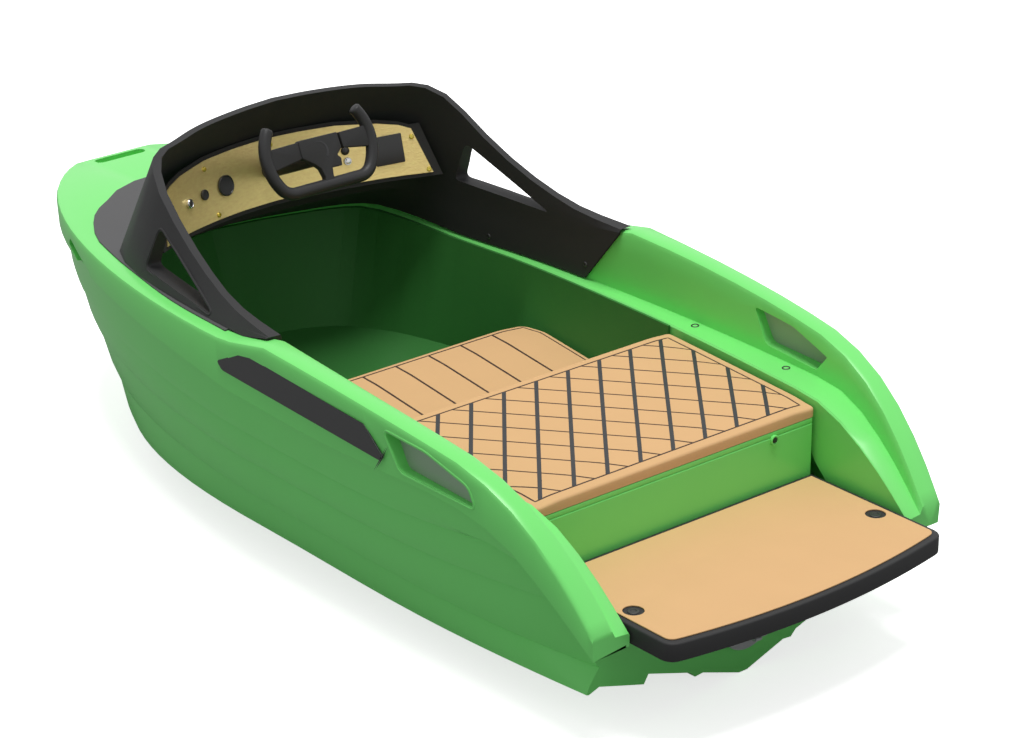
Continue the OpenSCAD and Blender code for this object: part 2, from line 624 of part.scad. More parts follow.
// Engine box
box_top_z = rear_pad_z - rear_pad_t - 14;
box_wall = 8;
lid_t = 12;
hatch_half = 360;
module engine_box() {
    color(green)
        difference() {
            translate([box_aft_x, -pad_aft_half + 8, platform_z - platform_t])
                cube([box_fwd_x - box_aft_x, 2 * (pad_aft_half - 8), box_top_z - platform_z + platform_t]);
            translate([box_aft_x + box_wall, -hatch_half - 20, platform_z - platform_t - 1])
                cube([box_fwd_x - box_aft_x - 2 * box_wall, 2 * hatch_half + 40, box_top_z - platform_z + platform_t - box_wall + 1]);
            translate([box_aft_x + 40, -hatch_half, box_top_z - box_wall - 1])
                cube([box_fwd_x - box_aft_x - 80, 2 * hatch_half, 20]);
        }
}
module box_plug() {
    color("#303030")
        translate([box_aft_x - 5, -288, 222])
            rotate([0, 90, 0])
                cylinder(d = 24, h = 5 - seat, $fn = 48);
}
pad_aft_half = 420;
pad_fwd_half = 449;
module box_slab(z, t, inset) {
    translate([0, 0, z])
        linear_extrude(height = t)
            polygon([[box_aft_x + inset, -pad_aft_half + inset], [box_fwd_x - inset, -pad_fwd_half + inset],
                [box_fwd_x - inset, pad_fwd_half - inset], [box_aft_x + inset, pad_aft_half - inset]]);
}
// Hinge line along the lid's front edge: barrels on the box either side of a knuckle on the lid
barrel_d = 9;
hinge_pin_d = 4;
hinge_x = box_fwd_x - 5;
hinge_z = box_top_z + seat + barrel_d / 2;
hinge_y = 250;
knuckle_l = 20;
module hinge_barrel(y, l, d) {
    translate([hinge_x, y - l / 2, hinge_z])
        rotate([-90, 0, 0])
            cylinder(d = d, h = l, $fn = 32);
}
module hatch_lid() {
    color(green)
        difference() {
            union() {
                difference() {
                    box_slab(box_top_z + seat, lid_t, 14);
                    for (s = [-1, 1])
                        hinge_barrel(s * hinge_y, 3 * knuckle_l + 4, barrel_d + 2);
                }
                for (s = [-1, 1]) {
                    hinge_barrel(s * hinge_y, knuckle_l, barrel_d);
                    translate([hinge_x - 14, s * hinge_y - knuckle_l / 2, hinge_z - barrel_d / 2])
                        cube([14, knuckle_l, barrel_d]);
                }
            }
            for (s = [-1, 1])
                hinge_barrel(s * hinge_y, knuckle_l + 2, hinge_pin_d + 0.1);
        }
}
module hatch_hinges() {
    color(steel)
        for (s = [-1, 1]) {
            hinge_barrel(s * hinge_y - knuckle_l - 1, knuckle_l, barrel_d);
            hinge_barrel(s * hinge_y + knuckle_l + 1, knuckle_l, barrel_d);
            hinge_barrel(s * hinge_y, knuckle_l + 4, hinge_pin_d);
        }
}
pad_base_z = box_top_z + lid_t + 2 * seat;
module rear_pad() {
    color(tan)
        box_slab(pad_base_z, rear_pad_z - pad_base_z, 0);
}
motor_x = -474;
motor_l = 122;
motor_half = 85;
motor_low = -135.6;
module motor_block() {
    color("#707478")
        difference() {
            translate([motor_x, -motor_half, motor_low])
                cube([motor_l, 2 * motor_half, 190]);
            translate([motor_x - 1, 0, jet_z])
                rotate([0, 90, 0])
                    cylinder(d = shaft_d + 0.1, h = 24, $fn = 48);
        }
}
module battery_block() {
    color("#4A4E52")
        for (s = [-1, 1])
            translate([box_aft_x + 12 + seat, s * 205 - 100, -76])
                cube([250, 200, 190]);
}

// Bathing platform
module platform_outline(inset) {
    n = 10;
    half = platform_half - inset;
    fwd = box_aft_x - 2 - inset;
    polygon(concat([[fwd, half]],
        [for (i = [0:n]) let (y = half * (1 - 2 * i / n)) [platform_aft_x + inset + 42 * pow(y / half, 2), y]],
        [[fwd, -half]]));
}
module platform_base() {
    color(black)
        translate([0, 0, platform_z - platform_t])
            linear_extrude(height = platform_t - 3)
                platform_outline(0);
}
module platform_pad() {
    color(tan)
        translate([0, 0, platform_z - 3 + seat])
            linear_extrude(height = 3)
                platform_outline(14);
}
module platform_bolts() {
    color(steel)
        for (s = [-1, 1])
            translate([-1122, s * 364, platform_z + seat * 2])
                cylinder(d = 26, h = 1.5, $fn = 32);
}
plate_corners = [[48, 357], [-35, 398], [-79, 405], [-486, 382], [-553, 326], [-548, 318], [31, 342]];
plate_y = beam / 2 - 2;
plate_t = 5;
module side_plates() {
    color("#38383A")
        for (s = [-1, 1])
            translate([0, s * (plate_y - plate_t / 2), 0])
                rotate([90, 0, 0])
                    linear_extrude(height = plate_t, center = true)
                        polygon(plate_corners);
}
module plate_recesses() {
    for (s = [-1, 1])
        translate([0, s * (plate_y - plate_t - seat + 20), 0])
            rotate([90, 0, 0])
                linear_extrude(height = 40, center = true)
                    polygon([for (p = plate_corners) [p[0] * 1.001, 362 + (p[1] - 362) * 1.01]]);
}
module side_meshes() {
    color("#7A8A7A")
        for (s = [-1, 1])
            translate([0, s * (beam / 2 - 40), 0])
                rotate([90, 0, 0])
                    linear_extrude(height = 3, center = true)
                        polygon([for (p = rounded(opening_corners, 14)) [-710 + (p[0] + 710) * 0.997, 345 + (p[1] - 345) * 0.99]]);
}

// Jet
duct_half = 75;
duct_mouth_l = 280;
duct_wall = 6;
duct_mouth_x = -760;
mouth_z = -164;
sole_z = -138;
pump_x = -900;
module duct_shape(inset, over) {
    hull() {
        translate([duct_mouth_x + inset, -duct_half + inset, mouth_z - over])
            cube([duct_mouth_l - 2 * inset, 2 * (duct_half - inset), sole_z - mouth_z + over]);
        translate([pump_x - over, 0, jet_z])
            rotate([0, 90, 0])
                cylinder(d = jet_bore + 2 * (duct_wall - inset), h = 4, $fn = 32);
    }
}
module duct_slot() {
    translate([0, duct_half + seat, 0])
        rotate([90, 0, 0])
            linear_extrude(height = 2 * (duct_half + seat))
                polygon([[duct_mouth_x - 120, mouth_z + 0.38 * 120], [duct_mouth_x - seat, mouth_z - seat],
                    [duct_mouth_x - seat, -keel_depth - 10], [duct_mouth_x + duct_mouth_l + seat, -keel_depth - 10],
                    [duct_mouth_x + duct_mouth_l + seat, mouth_z + 0.38 * 120]]);
}
module intake_duct() {
    color("#303234")
        difference() {
            union() {
                duct_shape(0, 0);
                translate([transom_x, 0, jet_z])
                    rotate([0, 90, 0])
                        cylinder(d = jet_bore + 2 * duct_wall, h = pump_x - transom_x + 4, $fn = 64);
            }
            duct_shape(duct_wall, 1);
            translate([transom_x - 1, 0, jet_z])
                rotate([0, 90, 0])
                    cylinder(d = jet_bore, h = pump_x - transom_x + 4, $fn = 64);
            translate([pump_x, 0, jet_z])
                rotate([0, 90, 0])
                    cylinder(d = shaft_d + 4, h = 300, $fn = 32);
        }
}
module intake_grate() {
    color(steel)
        for (i = [-2:2])
            translate([duct_mouth_x + duct_wall + seat, i * 23 - 3, mouth_z + 6])
                cube([duct_mouth_l - 2 * duct_wall - 2 * seat, 6, 12]);
}
shaft_aft_x = -1092;
module pump_shaft() {
    color(steel)
        translate([shaft_aft_x, 0, jet_z])
            rotate([0, 90, 0])
                cylinder(d = shaft_d, h = motor_x + 20 - shaft_aft_x, $fn = 48);
}
impeller_x = -1040;
impeller_l = 60;
module impeller() {
    color(brass)
        translate([impeller_x, 0, jet_z])
            rotate([0, 90, 0])
                difference() {
                    union() {
                        cylinder(d = 46, h = impeller_l, $fn = 48);
                        for (i = [0:4])
                            rotate([0, 0, i * 72])
                                linear_extrude(height = impeller_l, twist = -60, slices = 6, segments = 4)
                                    translate([20, -2.5])
                                        square([jet_bore / 2 - tip_gap - 20, 5]);
                    }
                    translate([0, 0, -1])
                        cylinder(d = shaft_d, h = impeller_l + 2, $fn = 48);
                }
}
// Pump housing: flange on the transom, stator vanes round a shaft bearing, and lugs for the nozzle's pins
flange_r = 79;
flange_l = 10;
outlet_r = 44;
lug_l = 32;
nozzle_x = -1125;
nozzle_r = 33;
pin_d = 8;
module pump_housing() {
    color("#303234")
        translate([transom_x - seat, 0, jet_z])
            rotate([0, -90, 0]) {
                difference() {
                    union() {
                        cylinder(r = flange_r, h = flange_l, $fn = 96);
                        cylinder(r = outlet_r + 6, h = flange_l + 6, $fn = 64);
                    }
                    translate([0, 0, -1])
                        cylinder(r = outlet_r, h = 40, $fn = 64);
                }
                difference() {
                    union() {
                        translate([0, 0, -20])
                            cylinder(r = 20, h = 30, $fn = 48);
                        for (a = [45:90:315])
                            rotate([0, 0, a])
                                translate([12, -2, 0])
                                    cube([outlet_r - 10, 4, flange_l]);
                    }
                    translate([0, 0, -21])
                        cylinder(d = shaft_d + 0.1, h = 27, $fn = 48);
                }
                for (s = [-1, 1]) {
                    translate([s * 43 - 3, -10, 0])
                        cube([6, 20, flange_l + lug_l + 4]);
                    translate([s * 36 - 5, 0, transom_x - seat - nozzle_x])
                        rotate([0, 90, 0])
                            cylinder(d = pin_d, h = 10, $fn = 32);
                }
            }
}
module steering_nozzle() {
    color("#303234")
        difference() {
            union() {
                translate([nozzle_x + 17, 0, jet_z])
                    rotate([0, -90, 0])
                        cylinder(r1 = nozzle_r + 1, r2 = nozzle_r - 6, h = 42, $fn = 64);
                for (s = [-1, 1])
                    translate([nozzle_x, 0, jet_z + s * 31 - 4.5])
                        cylinder(d = 20, h = 9, $fn = 48);
            }
            translate([nozzle_x + 18, 0, jet_z])
                rotate([0, -90, 0])
                    cylinder(r1 = nozzle_r - 4, r2 = nozzle_r - 11, h = 44, $fn = 64);
            translate([nozzle_x, 0, jet_z - 50])
                cylinder(d = pin_d + 0.1, h = 100, $fn = 48);
        }
}

hull_shell();
deck_moulding();
tub_liner();
stern_deck();
cowl();
cowl_flange();
dash_panel();
dash_fascia();
gauge_large();
gauge_small();
key_switch();
start_button();
warning_lamp();
display_screen();
steering_column();
wheel_rim();
wheel_hub();
seat_base();
seat_pad();
engine_box();
box_plug();
hatch_lid();
hatch_hinges();
rear_pad();
motor_block();
battery_block();
platform_base();
platform_pad();
platform_bolts();
side_plates();
side_meshes();
intake_duct();
intake_grate();
pump_shaft();
impeller();
pump_housing();
steering_nozzle();
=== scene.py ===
import math
import bmesh
import bpy
import numpy as np
from mathutils import Matrix, Vector
from mathutils.bvhtree import BVHTree


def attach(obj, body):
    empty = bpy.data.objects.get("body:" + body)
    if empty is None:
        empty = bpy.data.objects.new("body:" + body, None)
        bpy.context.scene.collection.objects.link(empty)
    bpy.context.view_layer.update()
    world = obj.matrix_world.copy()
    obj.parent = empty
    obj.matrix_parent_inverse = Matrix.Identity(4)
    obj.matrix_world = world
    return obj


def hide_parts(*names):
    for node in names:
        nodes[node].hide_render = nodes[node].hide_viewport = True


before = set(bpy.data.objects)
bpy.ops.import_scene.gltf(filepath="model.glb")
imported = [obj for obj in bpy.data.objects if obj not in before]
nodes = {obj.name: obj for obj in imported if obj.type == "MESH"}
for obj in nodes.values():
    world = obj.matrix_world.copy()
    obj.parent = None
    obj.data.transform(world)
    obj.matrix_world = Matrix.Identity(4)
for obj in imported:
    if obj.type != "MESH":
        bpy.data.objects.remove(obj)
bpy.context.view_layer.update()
scene = bpy.context.scene

# The points of shapes are in mm and places are in m. +X is forward, +Y to port, and +Z up from the waterline.
MM = 0.001
KEEL_Z = -0.18
SIDES = (("port", 1), ("starboard", -1))


# Materials
def noise(tree, place, scale, detail):
    """Output of a noise texture in object space."""
    made = tree.nodes.new("ShaderNodeTexNoise")
    made.inputs["Scale"].default_value = scale
    made.inputs["Detail"].default_value = detail
    tree.links.new(place.outputs["Vector"], made.inputs["Vector"])
    return made.outputs["Fac"]


def shader(name, base, rough, metallic=0.0, specular=0.5, shade=0.0, shade_scale=5.0, grain=0.0,
           grain_scale=900.0, stretch=(1, 1, 1)):
    """Material. shade is how far its colour varies, and grain is the strength of its fine bumps."""
    mat = bpy.data.materials.new(name)
    mat.use_nodes = True
    tree = mat.node_tree
    bsdf = tree.nodes["Principled BSDF"]
    bsdf.inputs["Base Color"].default_value = (*base, 1)
    bsdf.inputs["Roughness"].default_value = rough
    bsdf.inputs["Metallic"].default_value = metallic
    bsdf.inputs["Specular IOR Level"].default_value = specular
    coord = tree.nodes.new("ShaderNodeTexCoord")
    place = tree.nodes.new("ShaderNodeMapping")
    place.inputs["Scale"].default_value = stretch
    tree.links.new(coord.outputs["Object"], place.inputs["Vector"])
    if shade:
        mix = tree.nodes.new("ShaderNodeMix")
        mix.data_type = "RGBA"
        mix.inputs["A"].default_value = (*[c * (1 - shade) for c in base], 1)
        mix.inputs["B"].default_value = (*[min(1, c * (1 + shade)) for c in base], 1)
        tree.links.new(noise(tree, place, shade_scale, 6), mix.inputs["Factor"])
        tree.links.new(mix.outputs["Result"], bsdf.inputs["Base Color"])
    if grain:
        bump = tree.nodes.new("ShaderNodeBump")
        bump.inputs["Strength"].default_value = grain
        bump.inputs["Distance"].default_value = 0.001
        tree.links.new(noise(tree, place, grain_scale, 4), bump.inputs["Height"])
        tree.links.new(bump.outputs["Normal"], bsdf.inputs["Normal"])
    return mat


GREEN = shader("gelcoat", (0.195, 0.78, 0.185), 0.3, specular=0.32, shade=0.02, grain=0.03, grain_scale=60)
# Painted shade: the liner's green is made darker than the deck's to stand in for the shade that falls in the
# cockpit under the cowl.
SHADED_LINER = shader("liner_gelcoat_painted_shade", (0.045, 0.20, 0.045), 0.4, specular=0.12, shade=0.03, grain=0.03,
               grain_scale=60)
BLACK = shader("moulded_black", (0.036, 0.036, 0.037), 0.55, specular=0.16, shade=0.08, grain=0.12)
GREY = shader("moulded_grey", (0.088, 0.088, 0.09), 0.6, specular=0.2, shade=0.04, grain=0.1)
PLATE = shader("plate_black", (0.036, 0.036, 0.038), 0.5, shade=0.05, grain=0.05)
GLOSS = shader("instrument_black", (0.02, 0.02, 0.021), 0.3, shade=0.05)
BRASS = shader("brass", (0.98, 0.72, 0.30), 0.36, metallic=0.6, shade=0.16, shade_scale=60, grain=0.9,
               grain_scale=120, stretch=(1, 1, 2.6))
SCREW = shader("brass_screw", (0.62, 0.5, 0.1), 0.3, metallic=1, shade=0.05)
STEEL = shader("steel", (0.62, 0.62, 0.62), 0.22, metallic=1, shade=0.04)
DARK_STEEL = shader("dark_steel", (0.06, 0.06, 0.06), 0.45, metallic=0.6, shade=0.05)
ALLOY = shader("cast_alloy", (0.45, 0.46, 0.47), 0.5, metallic=0.8, shade=0.06, grain=0.2, grain_scale=300)
BRONZE = shader("bronze", (0.55, 0.36, 0.15), 0.35, metallic=1, shade=0.08)
BATTERY = shader("battery_case", (0.10, 0.11, 0.12), 0.5, shade=0.05, grain=0.1)
RUBBER = shader("wheel_grip", (0.024, 0.024, 0.025), 0.45, specular=0.3, shade=0.06, grain=0.25)
TAN = shader("foam_tan", (0.70, 0.435, 0.215), 0.85, specular=0.12, shade=0.03, shade_scale=9, grain=0.3,
             grain_scale=700)
LINE = shader("line_black", (0.022, 0.023, 0.026), 0.6, shade=0.05)
GROOVE = shader("line_brown", (0.045, 0.022, 0.012), 0.8, shade=0.1)
INSIDE = shader("opening_panel", (0.30, 0.42, 0.30), 0.5, shade=0.05)


# Mesh helpers
def mesh_object(name, points, faces, place=None, scale=MM):
    """Object of a closed mesh, with its faces turned outwards."""
    mesh = bpy.data.meshes.new(name)
    mesh.from_pydata([tuple(c * scale for c in p) for p in points], [], faces)
    mesh.validate()
    obj = bpy.data.objects.new(name, mesh)
    scene.collection.objects.link(obj)
    if place is not None:
        mesh.transform(place)
    shape = bmesh.new()
    shape.from_mesh(mesh)
    bmesh.ops.recalc_face_normals(shape, faces=shape.faces)
    shape.to_mesh(mesh)
    shape.free()
    return obj


def shade_mesh(mesh, angle):
    """Smooth shading that breaks at edges sharper than angle, in degrees."""
    mesh.shade_smooth()
    mesh.set_sharp_from_angle(angle=math.radians(angle))


def add(name, points, faces, mat, body, cad=(), angle=35, bevel=0.0, place=None, scale=MM):
    """Piece that rides on a body and stands for the CAD nodes in cad."""
    obj = mesh_object(name, points, faces, place, scale)
    obj.data.materials.append(mat)
    shade_mesh(obj.data, angle)
    if bevel:
        mod = obj.modifiers.new("edges", "BEVEL")
        mod.width = bevel * MM
        mod.segments = 3
        mod.limit_method = "ANGLE"
        mod.angle_limit = math.radians(30)
        mod.harden_normals = True
    if cad:
        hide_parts(*cad)
    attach(obj, body)
    return obj


def mesh_lists(shape):
    """Points and faces of a bmesh, which is freed."""
    shape.verts.index_update()
    points = [tuple(v.co) for v in shape.verts]
    faces = [[v.index for v in f.verts] for f in shape.faces]
    shape.free()
    return points, faces


def cad_shape(node, flat):
    """Welded points and faces of a CAD node, in metres. flat joins the faces of a plane."""
    shape = bmesh.new()
    shape.from_mesh(nodes[node].data)
    bmesh.ops.remove_doubles(shape, verts=shape.verts, dist=2e-6)
    if flat:
        bmesh.ops.dissolve_limit(shape, angle_limit=math.radians(0.8), verts=shape.verts, edges=shape.edges)
    return mesh_lists(shape)


def final_mesh(obj):
    """New mesh of an object with its modifiers applied."""
    return bpy.data.meshes.new_from_object(obj.evaluated_get(bpy.context.evaluated_depsgraph_get()))


def crisp(mesh):
    """Marks the edges of upright fore-and-aft faces sharp, so that the plate recesses shade flat."""
    flat = set()
    for face in mesh.polygons:
        if abs(face.normal.y) > 0.9999:
            flat.update(face.edge_keys)
    for edge in mesh.edges:
        if edge.key in flat:
            edge.use_edge_sharp = True


def skin(node, mat, body="boat", angle=35, bevel=0.0, flat=False, cutters=()):
    """Visible piece with the shape of its CAD node, less the cutters."""
    points, faces = cad_shape(node, flat or bevel > 0)
    made = add(node + "_skin", points, faces, mat, body, (node,), angle, bevel, scale=1)
    for cutter in cutters:
        mod = made.modifiers.new("cut", "BOOLEAN")
        mod.object = cutter
        mod.solver = "EXACT"
    if cutters:
        mesh = final_mesh(made)
        made.modifiers.clear()
        made.data = mesh
        shade_mesh(mesh, angle)
        for cutter in cutters:
            bpy.data.objects.remove(cutter)
    crisp(made.data)
    return made


def loft(rings, caps=True):
    """Points and faces over closed rings of equal length."""
    n = len(rings[0])
    points = [p for ring in rings for p in ring]
    faces = []
    for r in range(len(rings) - 1):
        for c in range(n):
            a, b = r * n + c, r * n + (c + 1) % n
            faces.append([a, b, b + n, a + n])
    if caps:
        faces.append(list(range(n)))
        faces.append([(len(rings) - 1) * n + c for c in range(n)][::-1])
    return points, faces


def turned(name, profile, mat, body, place, cad=(), n=40):
    """Solid of revolution from a profile of (radius, height)."""
    turns = [2 * math.pi * k / n for k in range(n)]
    points, faces = loft([[(r * math.cos(a), r * math.sin(a), h) for a in turns] for r, h in profile])
    return add(name, points, faces, mat, body, cad, 30, place=place)


def lip(name, path, r, mat, body, n=10):
    """Round bar along a closed path of points."""
    pts = [Vector(p) for p in path]
    count = len(pts)
    turns = [2 * math.pi * k / n for k in range(n)]

    def nearest(ring, point):
        return min(range(n), key=lambda k: (Vector(ring[k]) - Vector(point)).length)

    rings = []
    for i, p in enumerate(pts):
        t = (pts[(i + 1) % count] - pts[i - 1]).normalized()
        a = t.cross(Vector((0, 0, 1)) if abs(t.z) < 0.95 else Vector((0, 1, 0))).normalized()
        b = t.cross(a)
        ring = [tuple(p + (a * math.cos(turn) + b * math.sin(turn)) * r) for turn in turns]
        if rings:
            # the ring starts where the last one's first point is nearest, so that the bar does not twist
            k = nearest(ring, rings[-1][0])
            ring = ring[k:] + ring[:k]
        rings.append(ring)
    points, faces = loft(rings, caps=False)
    k = nearest(rings[0], rings[-1][0])
    last = (count - 1) * n
    faces += [[last + c, last + (c + 1) % n, (k + c + 1) % n, (k + c) % n] for c in range(n)]
    return add(name, points, faces, mat, body)


def rounded(corners, d, n=6):
    """Outline with its corners cut back by d and rounded."""
    out = []
    count = len(corners)
    for i, p in enumerate(corners):
        p = Vector(p)
        a, b = Vector(corners[i - 1]), Vector(corners[(i + 1) % count])
        a = p + (a - p).normalized() * d
        b = p + (b - p).normalized() * d
        for k in range(n + 1):
            t = k / n
            out.append(a * (1 - t) ** 2 + p * 2 * t * (1 - t) + b * t * t)
    return out


def grown(outline, d):
    """Outline moved outwards by d."""
    n = len(outline)
    nexts = [outline[(i + 1) % n] for i in range(n)]
    area = sum(p.x * q.y - q.x * p.y for p, q in zip(outline, nexts))
    side = 1 if area > 0 else -1
    out = []
    for i in range(n):
        t = nexts[i] - outline[i - 1]
        t = t.normalized() if t.length else Vector((1, 0))
        out.append(outline[i] + Vector((t.y, -t.x)) * d * side)
    return out


def plate(name, loops, t, edge, mat, body, place, cad=()):
    """Flat plate of thickness t with rounded edges: the first loop is its outline, the others are holes."""
    data = bpy.data.curves.new(name, "CURVE")
    data.dimensions = "2D"
    data.fill_mode = "BOTH"
    data.extrude = (t / 2 - edge) * MM
    data.bevel_depth = edge * MM
    data.bevel_resolution = 2
    data.offset = -edge * MM
    for loop in loops:
        line = data.splines.new("POLY")
        line.points.add(len(loop) - 1)
        for k, p in enumerate(loop):
            line.points[k].co = (p[0] * MM, p[1] * MM, 0, 1)
        line.use_cyclic_u = True
    ghost = bpy.data.objects.new(name + "_line", data)
    scene.collection.objects.link(ghost)
    bpy.context.view_layer.update()
    mesh = final_mesh(ghost)
    bpy.data.objects.remove(ghost)
    shape = bmesh.new()
    shape.from_mesh(mesh)
    bmesh.ops.remove_doubles(shape, verts=shape.verts, dist=1e-6)
    points, faces = mesh_lists(shape)
    return add(name, points, faces, mat, body, cad, 40, place=place, scale=1)


def hit(obj, origins, direction):
    """Point in mm and normal where each ray meets a piece, or None."""
    tree = BVHTree.FromPolygons([v.co[:] for v in obj.data.vertices],
                                [p.vertices[:] for p in obj.data.polygons])
    found = [tree.ray_cast(Vector(origin) * MM, Vector(direction)) for origin in origins]
    return [(f[0] / MM, f[1]) if f[0] is not None else None for f in found]


def facing(point, normal):
    """Place at a point in mm, with +Z along the normal."""
    return Matrix.Translation(point * MM) @ normal.to_track_quat("Z", "Y").to_matrix().to_4x4()


# Hull, deck, cockpit and cowl
def slot_cutter(name, length, height, depth, place):
    """Bar with round ends along its local Y, to cut a grab slot of this depth with."""
    above = 40
    r = height / 2
    half = length / 2 - r
    ends = ((half, np.linspace(0, math.pi, 13)), (-half, np.linspace(math.pi, 2 * math.pi, 13)))
    ring = [(r * math.cos(a), middle + r * math.sin(a)) for middle, turns in ends for a in turns]
    points, faces = loft([[(x, y, z) for x, y in ring] for z in (-depth, above)])
    return mesh_object(name, points, faces, place)


def grab_slots():
    """Cutters for the slots in the foredeck and in both bows, which are longer than the CAD's."""
    along = Vector((169, -58, 32)).normalized()
    outward = Vector((0.31, 0.95, -0.06))
    outward = (outward - along * outward.dot(along)).normalized()
    turn = Matrix((along.cross(outward), along, outward)).transposed().to_4x4()
    port = Matrix.Translation((0.8295, 0.441, 0.334)) @ turn
    return [slot_cutter("slot_bow", 152, 32, 24, Matrix.Translation((1.296, 0, 0.379))),
            slot_cutter("slot_port", 184, 31, 26, port),
            slot_cutter("slot_starboard", 184, 31, 26, Matrix.Diagonal((1, -1, 1, 1)) @ port)]


skin("hull_shell", GREEN, angle=24)
deck = skin("deck_moulding", GREEN, angle=38, cutters=grab_slots())
# The liner takes the darker green, which paints in the shade of the cockpit.
skin("tub_liner", SHADED_LINER, angle=30)
skin("stern_deck", GREEN, bevel=1.5)
cowl = skin("cowl", BLACK, angle=32)
skin("cowl_flange", GREY, angle=30)
skin("engine_box", GREEN, bevel=4)
skin("seat_base", GREEN, bevel=4)
skin("side_meshes", INSIDE, flat=True)


def lips():
    """Lips round the side openings and the side windows."""
    opening = rounded([(-558, 388), (-604, 308), (-836, 300), (-818, 342), (-690, 380)], 14)
    window = rounded([(415, 548), (462, 438), (138, 429)], 20, 10)
    r, sunk, outside = 3, 1.2, 800
    for side, s in SIDES:
        for name, piece, outline, off, mat in (("opening_lip", deck, opening, 5, GREEN),
                                               ("window_lip", cowl, window, 4.5, BLACK)):
            found = hit(piece, [(p.x, s * outside, p.y) for p in grown(outline, off)], (0, -s, 0))
            path = [f[0] - Vector((0, s * sunk, 0)) for f in found if f is not None]
            lip(f"{name}_{side}", path, r, mat, "boat")


def side_plates():
    """Bare plates in the recesses of the deck's sides."""
    plate_y = 0.5835
    corners = [(48, 357), (-35, 398), (-79, 405), (-486, 382), (-553, 326), (-548, 318), (31, 342)]
    for side, s in SIDES:
        place = Matrix.Translation((0, s * plate_y, 0)) @ Matrix.Rotation(math.pi / 2, 4, "X")
        made = plate(f"side_plate_{side}", [rounded(corners, 7)], 5, 1.8, PLATE, "boat", place)
        if s == 1:
            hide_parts("side_plates")


def ledge_inserts():
    """Threaded inserts in the ledges, two a side."""
    profile = [(10, -2), (10, 1), (9, 1.6), (7.4, 1.6), (6.8, 1), (6.4, -0.5), (2, -0.6)]
    above = 600
    places = [(x, s * y, above) for x, y in ((-380, 503), (-702, 490)) for s in (1, -1)]
    for k, spot in enumerate(hit(deck, places, (0, 0, -1))):
        if spot:
            turned(f"ledge_insert_{k}", profile, DARK_STEEL, "boat", facing(*spot))


def skirt_screws():
    """Screws on the inside of the cowl's skirt, two a side."""
    profile = [(7, -2), (7, 0.8), (6, 2), (3.4, 2.4), (3.2, 0.6), (1, 0.5)]
    for k, (x, z) in enumerate(((345, 314), (13, 329))):
        for side, s in SIDES:
            found = hit(cowl, [(x, 0, z)], (0, s, 0))[0]
            if found:
                point, normal = found
                inward = normal if normal.y * s < 0 else -normal
                turned(f"skirt_screw_{side}_{k}", profile, DARK_STEEL, "boat", facing(point, inward))


lips()
side_plates()
ledge_inserts()
skirt_screws()


# Dash
def on_dash(y, z, half):
    """Place on the fascia, at y across and z up it, set in so that a face of this half width sits flush."""
    arch_r, fascia = 739, 3.6
    rake = math.radians(14.4)
    set_in = fascia + half * half / (2 * arch_r)
    fall = math.sqrt((arch_r - set_in) ** 2 - y * y) - arch_r
    return (Matrix.Translation((0.622, 0, 0.465)) @ Matrix.Rotation(rake, 4, "Y")
            @ Matrix.Translation((fall * MM, y * MM, z * MM)) @ Matrix.Rotation(math.asin(y / arch_r), 4, "Z")
            @ Matrix.Rotation(-math.pi / 2, 4, "Y"))


def instruments():
    """Gauges, key switch, start button, warning lamp and display."""
    turned("gauge_large_face", [(26, 0), (26, 4.6), (25, 5.8), (23.4, 6), (22.6, 5), (22, 4.4), (3, 4.2)],
           GLOSS, "boat", on_dash(145, 51, 26), ("gauge_large",), 56)
    turned("gauge_small_face", [(13, 0), (13, 5), (12.2, 5.9), (10.6, 5.9), (10, 4.8), (2, 4.6)],
           GLOSS, "boat", on_dash(224, 46, 13), ("gauge_small",))
    key = on_dash(287, 39, 12)
    turned("key_switch_ring", [(12, 0), (12, 6), (10.6, 8.4), (8.4, 8.8), (7.6, 7.6), (7.2, 4), (1, 4)],
           STEEL, "boat", key, ("key_switch",))
    turned("key_switch_core", [(7, 4.1), (7, 6.8), (6, 7.4), (1, 7.4)], DARK_STEEL, "boat", key)
    turned("start_button_cap",
           [(10, 0), (10, 3.6), (9, 4.8), (7.4, 4.8), (7, 4.2), (6.6, 5.4), (5, 6), (1, 6)],
           STEEL, "boat", on_dash(-216, 32, 10), ("start_button",))
    turned("warning_lamp_dome", [(11, 0), (11, 3), (10, 5), (7, 7), (3.5, 7.9), (0.6, 8)],
           GLOSS, "boat", on_dash(-214, 59, 11), ("warning_lamp",))
    bezel_half, bezel_t = 37, 5
    square = [(-bezel_half, -bezel_half), (bezel_half, -bezel_half), (bezel_half, bezel_half),
              (-bezel_half, bezel_half)]
    plate("display_bezel", [rounded(square, 3)], bezel_t, 1, GLOSS, "boat",
          on_dash(-318, 39, 38) @ Matrix.Translation((0, 0, bezel_t / 2 * MM)), ("display_screen",))


def dash_screws():
    """Brass screws that hold the fascia."""
    profile = [(6.5, -0.4), (6.5, 1.6), (5.6, 3), (3.4, 3.6), (3.2, 1.4), (0.8, 1.2)]
    spots = ((207, 106), (184, -13.5), (-16, 118), (-374, 61), (-400, -28), (392, -26))
    for k, (y, z) in enumerate(spots):
        turned(f"dash_screw_{k}", profile, SCREW, "boat", on_dash(y, z, 5), n=24)


skin("dash_panel", BLACK, angle=30)
skin("dash_fascia", BRASS, angle=30)
instruments()
dash_screws()

# Steering. In the wheel's frame X is up it, Y to port and Z along the column towards the driver.
skin("steering_column", BLACK)
WHEEL = (Matrix.Translation((0.430, 0, 0.612)) @ Matrix.Rotation(math.radians(23.7), 4, "Y")
         @ Matrix.Rotation(-math.pi / 2, 4, "Y"))


def on_wheel(z):
    return WHEEL @ Matrix.Translation((0, 0, z * MM))


